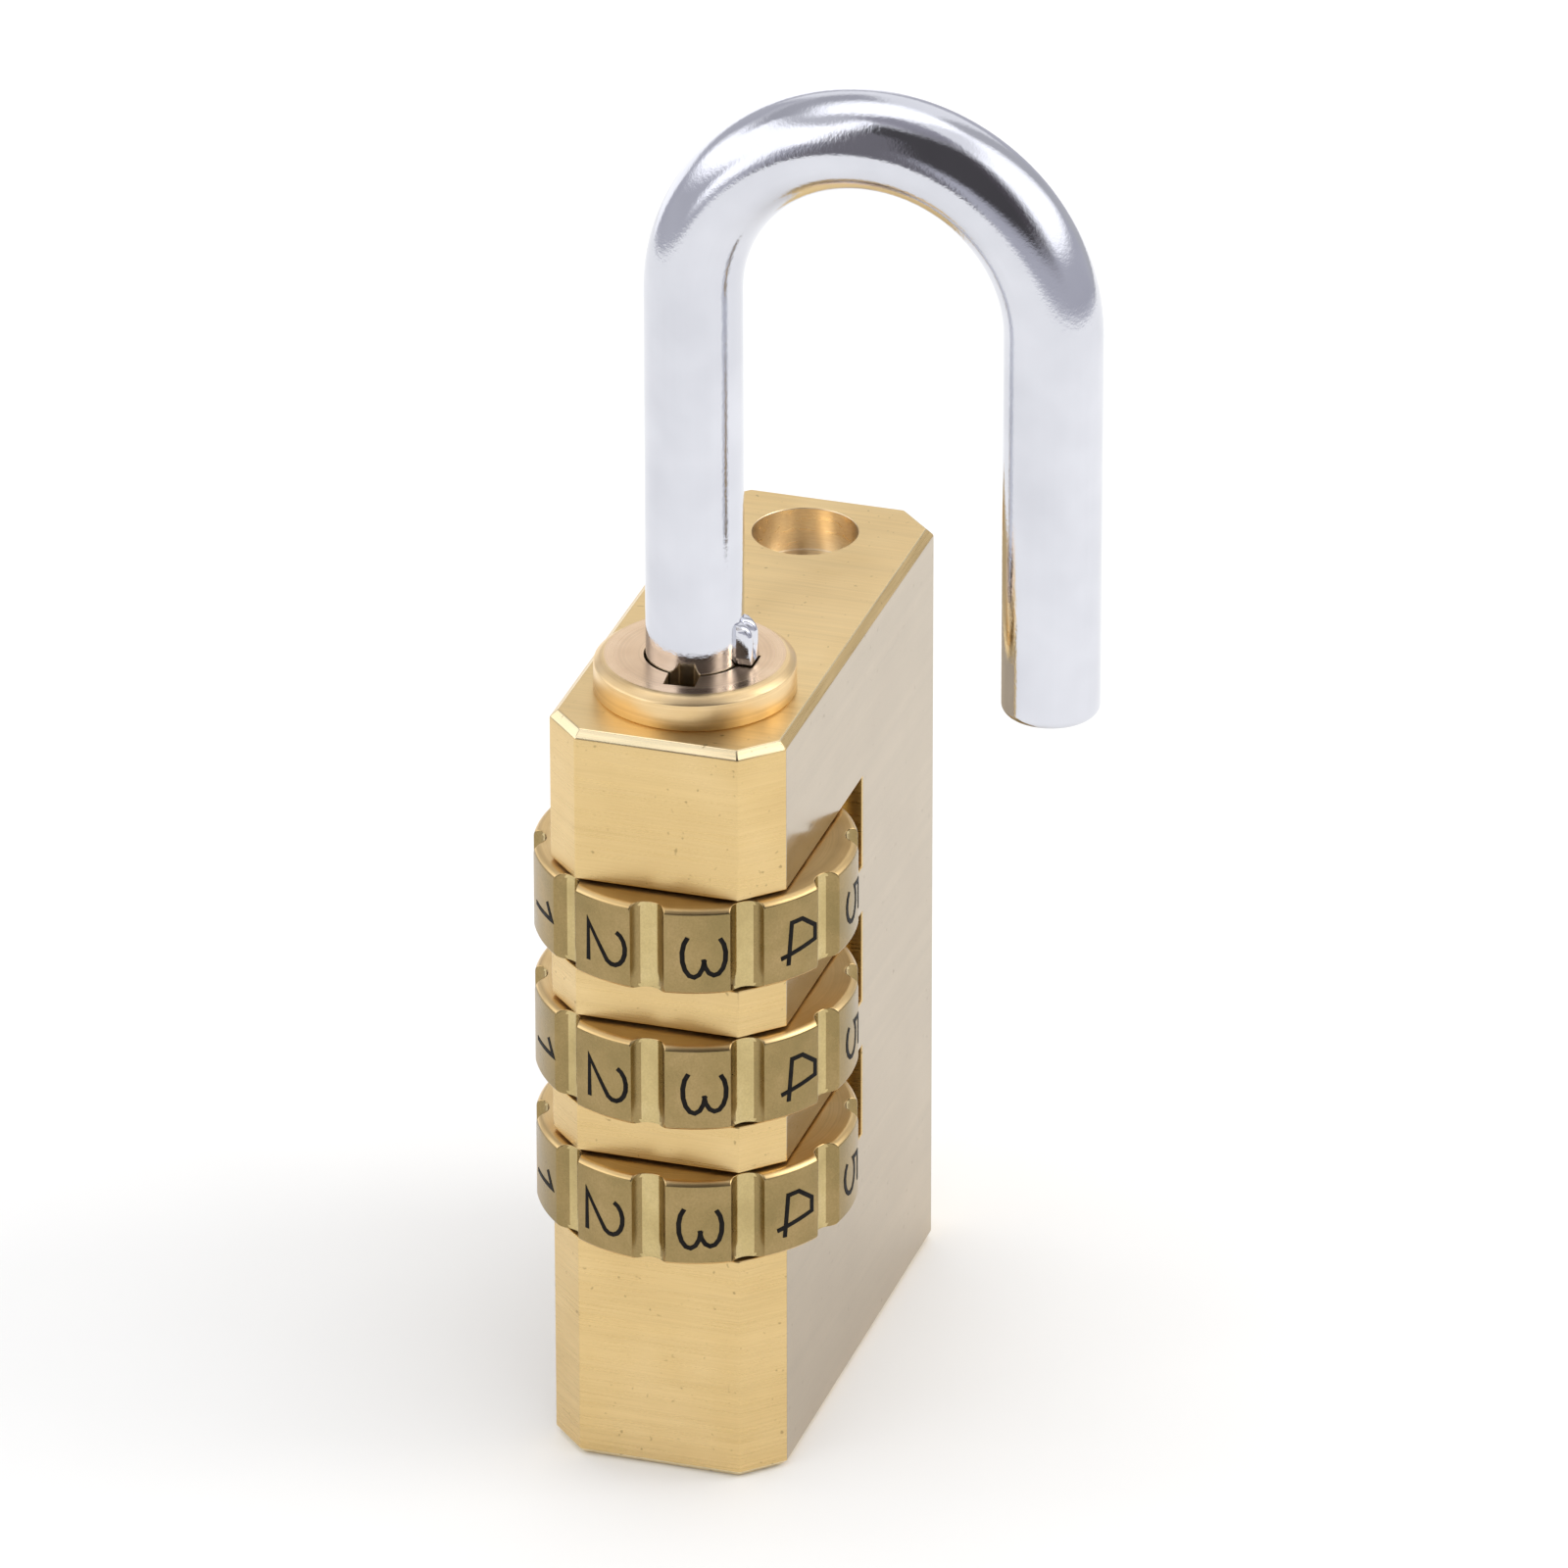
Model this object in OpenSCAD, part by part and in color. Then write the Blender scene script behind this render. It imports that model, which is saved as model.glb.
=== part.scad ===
// Combination padlock with a solid brass bar body, three numbered dials and a
// steel shackle, drawn open: the shackle is raised and swung a quarter turn.
// Origin: centre of the body's bottom face. +X runs along the body's width to
// the toe side, +Z runs up. Sizes are in millimetres.

/* [Body] */
// Width of the body, from the dial end to the toe end
body_w = 29.5; // [29:0.1:32]
// Thickness of the body, between its broad faces
body_t = 12.5; // [12:0.1:14]
// Height of the body
body_h = 41.8; // [41.8:0.1:44]
// Size of the chamfer along each upright corner
corner_chamfer = 1.95; // [0.8:0.05:2.4]
// Size of the bevel along the top and bottom edges
edge_bevel = 0.4; // [0.2:0.05:0.8]
// Distance from the dial end face to the axis of the dials and long leg
axis_inset = 6.55; // [6.3:0.05:6.8]

/* [Shackle] */
// Diameter of the shackle wire
wire_d = 5.0; // [4.6:0.1:5.1]
// Distance between the centre lines of the two legs
leg_spacing = 18.7; // [18:0.1:19.5]
// Height of the bend's centre above the bottom face, shackle raised
bend_z = 64.0; // [56:0.5:80]
// How far the shackle rises when the lock opens
lift = 3.5; // [3.4:0.05:3.6]
// Depth that the free leg reaches into the body when closed
toe_engagement = 2.0; // [1.5:0.1:2.2]
// Depth of the toe hole in the top face
toe_hole_depth = 2.4; // [2.3:0.1:4]

/* [Dials] */
// Radius of a dial over its numbered faces
dial_r = 8.35; // [8.1:0.05:8.4]
// Height of a dial
dial_h = 4.85; // [4.7:0.05:4.9]
// Height of the slot that a dial turns in
slot_h = 5.15; // [5.1:0.05:5.25]
// Distance between the middles of neighbouring dials
dial_pitch = 7.79; // [7.75:0.01:7.81]
// Height of the middle of the top dial
top_dial_z = 30.9; // [30.8:0.05:31]
// Depth of the ten finger grooves
groove_depth = 0.7; // [0.4:0.05:0.8]
// Size of the bevel round both rims of a dial
rim_bevel = 0.4; // [0.1:0.05:0.5]

/* [Numerals] */
// Height of a numeral, measured round the dial
numeral_h = 2.45; // [1.5:0.05:2.5]
// Width of a numeral, measured along the dial's axis
numeral_w = 2.65; // [1.5:0.05:2.8]
// Width of the engraved line
stroke_w = 0.24; // [0.15:0.01:0.35]
// Depth of the engraved line
stroke_depth = 0.18; // [0.1:0.02:0.3]

/* [Collar] */
// Radius of the collar's flange
collar_r = 5.15; // [4.9:0.05:5.3]
// Height of the flange above the body
collar_h = 1.9; // [1.2:0.1:2.2]
// Direction of the reset keyway, counted from the closed direction
reset_keyway_angle = 185; // [180:1:190]

/* [Hidden] */
$fn = 96;
eps = 0.01;

// Colours, as red, green and blue
brass_body = [0.84, 0.73, 0.50];
brass_collar = [0.89, 0.77, 0.62];
brass_dial = [0.65, 0.57, 0.37];
brass_ring = [0.78, 0.66, 0.40];
chrome = [0.84, 0.85, 0.88];
spring_steel = [0.60, 0.61, 0.64];
enamel_black = [0.06, 0.05, 0.05];

// Places that several parts share
axis_x = axis_inset - body_w / 2;
wire_r = wire_d / 2;
rest_swing = -90;
free_leg_z = body_h - toe_engagement + lift;
running_gap = 0.05;
slot_end_gap = 0.1;
slot_end_x = axis_x + dial_r + slot_end_gap;

// Stepped bore that the mechanism is loaded into from the top
bore_r = 4.6;
spring_bore_r = 4.1;
shoulder_z = 9.7;
floor_z = 1.6;

// Code rings, one inside each dial
ring_h = 6.8;
ring_body_r = 4.0;
ring_inner_r = 3.5;
ring_tooth_r = 4.45;
ring_tooth_w = 1.0;
ring_tooth_h = 3.6;
ring_teeth = 5;
flange_h = 1.4;
flange_drop = 1.3;
flange_hole_r = wire_r + 0.15;
gate_w = 1.75;
spacer_h = dial_pitch - ring_h - 2 * running_gap;
dial_bore_r = ring_body_r + running_gap;
notch_r = 4.55;
notch_w = 1.15;

// Code pins, one above each ring's flange while the shackle is raised
pin_r = 0.7;
pin_tip_r = 3.3;
pin_root_r = 1.0;
pin_rise = 1.15;

// Key on the long leg and the keyways it drops into; the one it rests over is a close fit
key_w = 1.4;
key_r = 3.2;
key_bottom = body_h + collar_h + 0.1;
key_h = 2.2;
keyway_w = 1.6;
keyway_r = 3.7;
rest_keyway_w = 1.46;
rest_keyway_r = 3.25;

// Foot of the long leg
washer_h = 0.75;
ring_clip_h = 0.8;
ring_clip_z = shoulder_z - running_gap - ring_clip_h;
clip_groove_r = 1.9;
clip_r = 3.8;
leg_foot_z = ring_clip_z - 0.6;
tip_chamfer = 0.4;
follower_r = 3.9;
follower_top = leg_foot_z - running_gap;
follower_h = 0.7;
follower_stem_r = 2.0;
follower_stem_h = 1.7;

// Lift spring under the follower
spring_wire_r = 0.3;
spring_r = 3.2;
spring_turns = 3.75;
spring_dead_turns = 0.5;
spring_contact_gap = 0.02;

// Wave spring that pushes the ring stack up to the collar
wave_count = 3;
wave_inner_r = 3.3;
wave_outer_r = 4.4;
wave_strip = 0.3;
stack_foot_z = top_dial_z - 2 * dial_pitch - ring_h / 2;

// Detent springs in pockets behind the dials
pocket_depth = 1.45;
pocket_half = 3.6;
detent_strip = 0.25;
detent_h = 2.6;

groove_r = 0.96;

// How far the numerals sit off the middles of their faces: turned, top dial first, and down
numeral_turn = [2.4, 2.4, 0.7];
numeral_drop = 0.22;

dial_count = 3;
digits = 10;
step_angle = 360 / digits;

function dial_z(i) = top_dial_z - i * dial_pitch;

// Points of an arc, from angle a0 to a1 in n steps
function arc(cx, cy, rx, ry, a0, a1, n) =
    [for (i = [0 : n]) let (a = a0 + (a1 - a0) * i / n) [cx + rx * cos(a), cy + ry * sin(a)]];

function unit(v) = v / norm(v);

function left_of(v) = [-v[1], v[0]];

// Sideways step at a corner between two runs, one unit clear of both
function mitre(before, after) =
    let (n = unit(left_of(before) + left_of(after)))
    n / max(0.4, n * left_of(before));

// Line through the points p, moved sideways by d
function beside(p, d) =
    let (last = len(p) - 1)
    [
        for (i = [0 : last])
            let (
                before = unit(p[max(i, 1)] - p[max(i, 1) - 1]),
                after = unit(p[min(i, last - 1) + 1] - p[min(i, last - 1)])
            )
            p[i] + mitre(before, after) * d
    ];

// Closed line through the points p, whose last point repeats the first, moved sideways by d
function loop_beside(p, d) =
    let (n = len(p) - 1)
    [
        for (i = [0 : n - 1])
            p[i] + mitre(unit(p[i] - p[(i + n - 1) % n]), unit(p[i + 1] - p[i])) * d
    ];

function reversed(p) = [for (i = [len(p) - 1 : -1 : 0]) p[i]];

// Outline of a line of width w drawn through the points p
function stroke_outline(p, w) = concat(beside(p, w / 2), reversed(beside(p, -w / 2)));

// Engraved strokes of each digit, in a box one unit wide and one unit high
GLYPHS = [
    [arc(0.5, 0.5, 0.42, 0.5, 0, 360, 18)],
    [[[0.2, 0.76], [0.55, 1], [0.55, 0]]],
    [concat(arc(0.5, 0.7, 0.4, 0.3, 165, -35, 9), [[0.04, 0], [0.96, 0]])],
    [arc(0.46, 0.74, 0.46, 0.26, 150, -80, 9), arc(0.46, 0.26, 0.5, 0.26, 80, -150, 9)],
    [[[0.8, 0], [0.6, 1], [0.28, 1], [0, 0.6], [0.02, 0.26]], [[-0.03, 0.3], [1, 0.2]]],
    [concat([[0.88, 1], [0.2, 1], [0.14, 0.55]], arc(0.46, 0.33, 0.42, 0.33, 125, -145, 11))],
    [arc(0.5, 0.31, 0.4, 0.31, 0, 360, 15), arc(0.92, 0.34, 0.82, 0.66, 180, 112, 5)],
    [[[0.06, 1], [0.94, 1], [0.36, 0]]],
    [arc(0.5, 0.76, 0.34, 0.24, 0, 360, 14), arc(0.5, 0.26, 0.42, 0.26, 0, 360, 14)],
    [arc(0.5, 0.69, 0.4, 0.31, 0, 360, 15), arc(0.08, 0.66, 0.82, 0.66, 0, -68, 5)]
];

module on_axis(z = 0) {
    translate([axis_x, 0, z]) children();
}

module tube(outer, inner, h) {
    difference() {
        cylinder(r = outer, h = h);
        translate([0, 0, -1]) cylinder(r = inner, h = h + 2);
    }
}

// Straight slot from the axis outwards, as wide as w, out to radius r
module radial_slot(angle, w, r, h) {
    rotate([0, 0, angle]) translate([0, -w / 2, 0]) cube([r, w, h]);
}

// Bar body -----------------------------------------------------------------

module bar_outline() {
    hx = body_w / 2;
    hy = body_t / 2;
    c = corner_chamfer;
    polygon([
        [hx - c, -hy], [hx, -hy + c], [hx, hy - c], [hx - c, hy],
        [-hx + c, hy], [-hx, hy - c], [-hx, -hy + c], [-hx + c, -hy]
    ]);
}

// Cutter that bevels the top edge of the side at this distance and direction
module edge_cutter(angle, distance) {
    reach = 40;
    side = edge_bevel * sqrt(2);
    rotate([0, 0, angle])
        translate([distance, -reach / 2, body_h])
            rotate([0, 45, 0])
                translate([-side / 2, 0, -side / 2])
                    cube([side, reach, side]);
}

module top_edge_cutters() {
    corner_distance = (body_w / 2 + body_t / 2 - corner_chamfer) / sqrt(2);
    for (a = [0, 180]) edge_cutter(a, body_w / 2);
    for (a = [90, 270]) edge_cutter(a, body_t / 2);
    for (a = [45, 135, 225, 315]) edge_cutter(a, corner_distance);
}

module bar() {
    difference() {
        linear_extrude(body_h) bar_outline();
        top_edge_cutters();
        translate([0, 0, body_h]) mirror([0, 0, 1]) top_edge_cutters();
    }
}

module dial_slot(z) {
    wide = body_t + 2;
    translate([-body_w / 2 - 1, -wide / 2, z - slot_h / 2])
        cube([slot_end_x + body_w / 2 + 1, wide, slot_h]);
    translate([slot_end_x - eps, -pocket_half, z - detent_h / 2 - 0.1])
        cube([pocket_depth + eps, 2 * pocket_half, detent_h + 0.2]);
}

module case() {
    color(brass_body)
    difference() {
        bar();
        on_axis(shoulder_z) cylinder(r = bore_r, h = body_h);
        on_axis(floor_z) cylinder(r = spring_bore_r, h = body_h);
        translate([axis_x + leg_spacing, 0, body_h - toe_hole_depth])
            cylinder(r = wire_r + 0.25, h = body_h);
        for (i = [0 : dial_count - 1]) dial_slot(dial_z(i));
    }
}

module collar() {
    foot_z = top_dial_z + ring_h / 2 + running_gap;
    bevel_w = 0.55;
    bevel_h = 0.4;
    top_z = body_h + collar_h;
    color(brass_collar)
    difference() {
        on_axis()
            rotate_extrude()
                polygon([
                    [wire_r + 0.08, foot_z], [bore_r, foot_z], [bore_r, body_h], [collar_r, body_h],
                    [collar_r, top_z - bevel_h], [collar_r - bevel_w, top_z], [wire_r + 0.08, top_z]
                ]);
        on_axis(foot_z - 1) {
            radial_slot(0, keyway_w, keyway_r, body_h);
            radial_slot(reset_keyway_angle, keyway_w, keyway_r, body_h);
            radial_slot(rest_swing, rest_keyway_w, rest_keyway_r, body_h);
        }
    }
}

// Shackle and what is fixed to it --------------------------------------------

module pin_at(z, r_from) {
    on_axis(z)
        rotate([0, 0, rest_swing])
            rotate([0, 90, 0])
                translate([0, 0, r_from])
                    cylinder(r = pin_r, h = pin_tip_r - r_from);
}

module free_leg() {
    translate([0, -leg_spacing, free_leg_z]) {
        cylinder(r1 = wire_r - tip_chamfer, r2 = wire_r, h = tip_chamfer);
        translate([0, 0, tip_chamfer]) cylinder(r = wire_r, h = bend_z - free_leg_z - tip_chamfer);
    }
}

module long_leg() {
    clip_groove_h = ring_clip_h + 2 * running_gap;
    difference() {
        union() {
            translate([0, 0, leg_foot_z])
                cylinder(r1 = wire_r - tip_chamfer, r2 = wire_r, h = tip_chamfer);
            translate([0, 0, leg_foot_z + tip_chamfer])
                cylinder(r = wire_r, h = bend_z - leg_foot_z - tip_chamfer);
        }
        translate([0, 0, ring_clip_z - running_gap]) tube(wire_r + 1, clip_groove_r, clip_groove_h);
    }
}

module key() {
    rotate([0, 0, rest_swing])
        translate([wire_r - 0.4, -key_w / 2, key_bottom])
            cube([key_r - wire_r + 0.4, key_w, key_h]);
}

module bend() {
    translate([0, -leg_spacing / 2, bend_z])
        rotate([0, -90, 0])
            rotate([0, 0, -90])
                rotate_extrude(angle = 180)
                    translate([leg_spacing / 2, 0]) circle(r = wire_r);
}

module shackle() {
    color(chrome)
    difference() {
        on_axis() {
            long_leg();
            bend();
            free_leg();
            key();
        }
        for (i = [0 : dial_count - 1]) pin_at(dial_z(i) + pin_rise, pin_root_r);
    }
}

module code_pin(i) {
    color(spring_steel) pin_at(dial_z(i) + pin_rise, pin_root_r);
}

module code_pin_top() {
    code_pin(0);
}

module code_pin_middle() {
    code_pin(1);
}

module code_pin_bottom() {
    code_pin(2);
}

module retaining_ring() {
    opening = 3.2;
    color(spring_steel)
    on_axis(ring_clip_z)
        difference() {
            tube(clip_r, clip_groove_r + running_gap, ring_clip_h);
            translate([0, -opening / 2, -1]) cube([clip_r + 1, opening, ring_clip_h + 2]);
        }
}

// Lift spring and its follower ------------------------------------------------

module spring_follower() {
    color(spring_steel)
    on_axis() {
        translate([0, 0, follower_top - follower_h]) cylinder(r = follower_r, h = follower_h);
        translate([0, 0, follower_top - follower_h - follower_stem_h])
            cylinder(r = follower_stem_r, h = follower_stem_h);
    }
}

// Height that the coil has climbed after t turns, flat over its dead end turns
function coil_rise(t, climb) =
    let (
        dead = spring_dead_turns,
        dead_pitch = 2 * spring_wire_r + 0.02,
        active = spring_turns - 2 * dead,
        slope = (climb - 2 * dead * dead_pitch) / active
    )
    min(t, dead) * dead_pitch
        + max(0, min(t, spring_turns - dead) - dead) * slope
        + max(0, t - spring_turns + dead) * dead_pitch;

module lift_spring() {
    per_turn = 24;
    sides = 8;
    n = spring_turns * per_turn;
    bottom = floor_z + spring_wire_r + spring_contact_gap;
    top = follower_top - follower_h - spring_wire_r - spring_contact_gap;
    rings = [
        for (k = [0 : n], s = [0 : sides - 1])
            let (
                a = 360 * k / per_turn,
                b = 360 * s / sides,
                r = spring_r + spring_wire_r * cos(b)
            )
            [r * cos(a), r * sin(a), bottom + coil_rise(k / per_turn, top - bottom) + spring_wire_r * sin(b)]
    ];
    skin = [
        for (k = [0 : n - 1], s = [0 : sides - 1])
            let (here = k * sides, next = here + sides, t = (s + 1) % sides)
            [here + s, here + t, next + t, next + s]
    ];
    first_cap = [for (s = [sides - 1 : -1 : 0]) s];
    last_cap = [for (s = [0 : sides - 1]) n * sides + s];
    color(spring_steel) on_axis() polyhedron(rings, concat(skin, [first_cap, last_cap]));
}

// Code rings and the stack around them ----------------------------------------

module stop_washer() {
    color(spring_steel) on_axis(shoulder_z) tube(bore_r - 0.1, flange_hole_r, washer_h);
}

module reset_wave_spring() {
    n = 48;
    low = shoulder_z + washer_h + spring_contact_gap;
    high = stack_foot_z - running_gap;
    middle = (low + high) / 2;
    swing = (high - low - wave_strip) / 2;
    points = [
        for (k = [0 : n - 1])
            let (a = 360 * k / n, z = middle + swing * cos(wave_count * a))
            each [
                for (c = [[wave_inner_r, -1], [wave_outer_r, -1], [wave_outer_r, 1], [wave_inner_r, 1]])
                    [c[0] * cos(a), c[0] * sin(a), z + c[1] * wave_strip / 2]
            ]
    ];
    faces = [
        for (k = [0 : n - 1], s = [0 : 3])
            let (here = k * 4, next = (k + 1) % n * 4, t = (s + 1) % 4)
            [here + s, here + t, next + t, next + s]
    ];
    color(spring_steel) on_axis() polyhedron(points, faces);
}

module ring_spacer(i) {
    color(brass_ring)
    on_axis(dial_z(i) - dial_pitch / 2 - spacer_h / 2)
        tube(bore_r - 0.1, ring_inner_r, spacer_h);
}

module ring_spacer_upper() {
    ring_spacer(0);
}

module ring_spacer_lower() {
    ring_spacer(1);
}

module code_ring(i) {
    flange_z = -flange_drop;
    color(brass_ring)
    on_axis(dial_z(i)) {
        difference() {
            union() {
                translate([0, 0, -ring_h / 2]) cylinder(r = ring_body_r, h = ring_h);
                for (k = [0 : ring_teeth - 1])
                    translate([0, 0, -ring_tooth_h / 2])
                        rotate([0, 0, k * 360 / ring_teeth + step_angle / 2])
                            translate([ring_body_r - 0.3, -ring_tooth_w / 2, 0])
                                cube([ring_tooth_r - ring_body_r + 0.3, ring_tooth_w, ring_tooth_h]);
            }
            translate([0, 0, flange_z + flange_h]) cylinder(r = ring_inner_r, h = ring_h);
            translate([0, 0, flange_z - ring_h]) cylinder(r = ring_inner_r, h = ring_h);
            translate([0, 0, -ring_h]) cylinder(r = flange_hole_r, h = 2 * ring_h);
            for (gate = [0, rest_swing])
                translate([0, 0, flange_z - 1])
                    radial_slot(gate, gate_w, ring_inner_r, flange_h + 2);
        }
    }
}

module code_ring_top() {
    code_ring(0);
}

module code_ring_middle() {
    code_ring(1);
}

module code_ring_bottom() {
    code_ring(2);
}

// Dials and their numerals ------------------------------------------------------

// Wall of width w along a line of 2-D points, closed where the line ends at its start
module stroke(line, w, h) {
    if (norm(line[0] - line[len(line) - 1]) < eps)
        difference() {
            linear_extrude(h) polygon(loop_beside(line, -w / 2));
            translate([0, 0, -1]) linear_extrude(h + 2) polygon(loop_beside(line, w / 2));
        }
    else
        linear_extrude(h) polygon(stroke_outline(line, w));
}

// Strokes of one digit, standing out along +X past the dial's face
module glyph(digit) {
    across = numeral_w - stroke_w;
    up = numeral_h - stroke_w;
    translate([dial_r - 1, 0, -numeral_drop])
        rotate([0, 90, 0])
            for (line = GLYPHS[digit])
                stroke([for (p = line) [(p[0] - 0.5) * across, (p[1] - 0.5) * up]], stroke_w, 2);
}

// All ten digits of dial i, kept between two radii; digit 0 faces +Y
module numeral_band(i, r_from, r_to) {
    intersection() {
        for (d = [0 : digits - 1]) rotate([0, 0, 90 + d * step_angle + numeral_turn[i]]) glyph(d);
        translate([0, 0, -dial_h / 2]) tube(r_to, r_from, dial_h);
    }
}

module dial(i) {
    hh = dial_h / 2;
    groove_at = dial_r - groove_depth + groove_r;
    color(brass_dial)
    on_axis(dial_z(i))
        difference() {
            rotate_extrude()
                polygon([
                    [dial_bore_r, -hh], [dial_r - rim_bevel, -hh], [dial_r, -hh + rim_bevel],
                    [dial_r, hh - rim_bevel], [dial_r - rim_bevel, hh], [dial_bore_r, hh]
                ]);
            for (k = [0 : digits - 1]) {
                rotate([0, 0, k * step_angle])
                    translate([groove_at, 0, -dial_h]) cylinder(r = groove_r, h = 2 * dial_h);
                rotate([0, 0, (k + 0.5) * step_angle])
                    translate([dial_bore_r - 0.3, -notch_w / 2, -dial_h])
                        cube([notch_r - dial_bore_r + 0.3, notch_w, 2 * dial_h]);
            }
            numeral_band(i, dial_r - stroke_depth, dial_r + 1);
        }
}

module numerals(i) {
    fill_drop = 0.03;
    color(enamel_black) on_axis(dial_z(i)) numeral_band(i, dial_r - stroke_depth, dial_r - fill_drop);
}

module dial_top() {
    dial(0);
}

module dial_middle() {
    dial(1);
}

module dial_bottom() {
    dial(2);
}

module numerals_top() {
    numerals(0);
}

module numerals_middle() {
    numerals(1);
}

module numerals_bottom() {
    numerals(2);
}

// Leaf that clicks into the groove facing the slot's end wall
module detent_spring(i) {
    tip = slot_end_x - 0.57;
    half = [
        [slot_end_x + 1.25, 3.4], [slot_end_x + 0.95, 2.6], [slot_end_x + 0.5, 1.5],
        [slot_end_x + 0.36, 0.85], [slot_end_x, 0.6], [slot_end_x - 0.36, 0.36]
    ];
    other_half = [for (p = reversed(half)) [p[0], -p[1]]];
    color(spring_steel)
    translate([0, 0, dial_z(i) - detent_h / 2])
        linear_extrude(detent_h)
            polygon(stroke_outline(concat(half, [[tip, 0]], other_half), detent_strip));
}

module detent_spring_top() {
    detent_spring(0);
}

module detent_spring_middle() {
    detent_spring(1);
}

module detent_spring_bottom() {
    detent_spring(2);
}

case();
collar();
shackle();
code_pin_top();
code_pin_middle();
code_pin_bottom();
retaining_ring();
spring_follower();
lift_spring();
stop_washer();
reset_wave_spring();
ring_spacer_upper();
ring_spacer_lower();
dial_top();
dial_middle();
dial_bottom();
numerals_top();
numerals_middle();
numerals_bottom();
code_ring_top();
code_ring_middle();
code_ring_bottom();
detent_spring_top();
detent_spring_middle();
detent_spring_bottom();
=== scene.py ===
"""Looks of the combination padlock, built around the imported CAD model."""
import math

import bmesh
import bpy
from mathutils import Matrix, Vector


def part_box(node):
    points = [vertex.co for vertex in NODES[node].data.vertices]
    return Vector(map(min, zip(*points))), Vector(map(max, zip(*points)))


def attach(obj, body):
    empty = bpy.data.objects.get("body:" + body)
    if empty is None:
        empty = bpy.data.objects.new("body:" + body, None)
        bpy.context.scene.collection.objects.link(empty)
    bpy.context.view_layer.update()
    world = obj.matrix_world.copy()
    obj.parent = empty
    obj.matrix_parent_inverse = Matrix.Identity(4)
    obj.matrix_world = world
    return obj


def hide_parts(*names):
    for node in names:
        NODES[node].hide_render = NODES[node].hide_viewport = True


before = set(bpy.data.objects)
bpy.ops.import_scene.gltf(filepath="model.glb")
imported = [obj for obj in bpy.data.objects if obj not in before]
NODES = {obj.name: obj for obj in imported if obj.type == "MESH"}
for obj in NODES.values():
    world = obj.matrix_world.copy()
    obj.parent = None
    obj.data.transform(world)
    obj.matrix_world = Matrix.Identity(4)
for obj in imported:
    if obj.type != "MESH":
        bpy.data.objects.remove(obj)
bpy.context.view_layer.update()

MM = 0.001

# Places read from the frame ------------------------------------------------

DIAL_LOW, DIAL_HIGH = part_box("dial_top")
AXIS_X = (DIAL_LOW.x + DIAL_HIGH.x) / 2
DIAL_R = (DIAL_HIGH.x - DIAL_LOW.x) / 2
DIAL_H = DIAL_HIGH.z - DIAL_LOW.z
BODY_LOW, BODY_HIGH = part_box("case")
COLLAR_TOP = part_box("collar")[1].z
SHACKLE_LOW, SHACKLE_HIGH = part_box("shackle")
WIRE_R = AXIS_X - SHACKLE_LOW.x
LEG_SPACING = SHACKLE_HIGH.y - SHACKLE_LOW.y - 2 * WIRE_R
TOE_HOLE = Vector((AXIS_X + LEG_SPACING, 0))
DIALS = ("top", "middle", "bottom")

# Sizes of the details, in metres --------------------------------------------

LEVEL = 0.01 * MM          # faces nearer than this lie in one plane
BODY_EDGE = 0.07 * MM
BEVEL_REACH = 1 * MM       # the body's bevels lie within this of its top or base
TOE_HOLE_R = WIRE_R + 0.27 * MM
TOE_HOLE_REACH = 3 * MM    # a little more than the hole's depth
COLLAR_EDGE = 0.06 * MM
COLLAR_FOOT = 0.12 * MM
COLLAR_SLEEVE_R = 5 * MM   # between the collar's sleeve and its flange

TIP_ROUND = 0.45 * MM
FREE_LEG_FOOT = 43.3 * MM
CLIP_GROOVE_LOW = 8.8 * MM
CLIP_GROOVE_HIGH = 9.7 * MM
CLIP_GROOVE_R = 1.9 * MM
KEY_R = 3.2 * MM
KEY_WIDTH = 1.4 * MM
KEY_LOW = COLLAR_TOP + 0.1 * MM
KEY_HEIGHT = 2.2 * MM
KEY_SUNK = 0.35 * MM       # how far it starts inside the wire
KEY_FOOT = 0.6 * MM        # height over which the ridges grow
KEY_ROUND = 0.9 * MM       # height of its rounded top
KEY_VALLEY = 0.42          # depth between the ridges, as a part of the reach

DIGITS = 10
STEP = 2 * math.pi / DIGITS
GROOVE_DEPTH = 0.7 * MM
GROOVE_R = 0.96 * MM
# Half width of the stripe of painted highlight down each groove's middle.
PAINTED_GROOVE_STRIPE_HALF_WIDTH = 0.55 * GROOVE_R
GROOVE_STEPS = 14
FACE_STEPS = 9
RIM_ROUND = 0.42 * MM
DIAL_EDGE = 0.07 * MM
DIAL_MIDDLE_R = 6 * MM     # between the bore's notches and the grooves
FACE_MARGIN = 0.02 * MM
DIAL_BORE_R = 4.05 * MM
NOTCH_R = 4.55 * MM
NOTCH_WIDTH = 1.15 * MM
BORE_STEPS = 6


# Mesh helpers -----------------------------------------------------------------

def clean_copy(node):
    """A welded copy of a CAD node's mesh, with flat regions joined into single faces."""
    bm = bmesh.new()
    bm.from_mesh(NODES[node].data)
    bmesh.ops.remove_doubles(bm, verts=bm.verts, dist=0.0005 * MM)
    bmesh.ops.dissolve_limit(bm, angle_limit=math.radians(0.5), verts=bm.verts, edges=bm.edges)
    return bm


def bevel_edges(bm, width, segments, least_angle, wanted=lambda edge: True):
    """Rounds each edge that is sharper than least_angle, in degrees."""
    sharp = [
        e for e in bm.edges
        if len(e.link_faces) == 2 and abs(e.calc_face_angle(0)) > math.radians(least_angle) and wanted(e)
    ]
    bmesh.ops.bevel(
        bm, geom=sharp, offset=width, segments=segments, profile=0.5, affect="EDGES",
        offset_type="OFFSET", clamp_overlap=False,
    )


def make_mesh(bm, name):
    mesh = bpy.data.meshes.new(name)
    bmesh.ops.recalc_face_normals(bm, faces=bm.faces)
    bm.to_mesh(mesh)
    bm.free()
    return mesh


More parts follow.
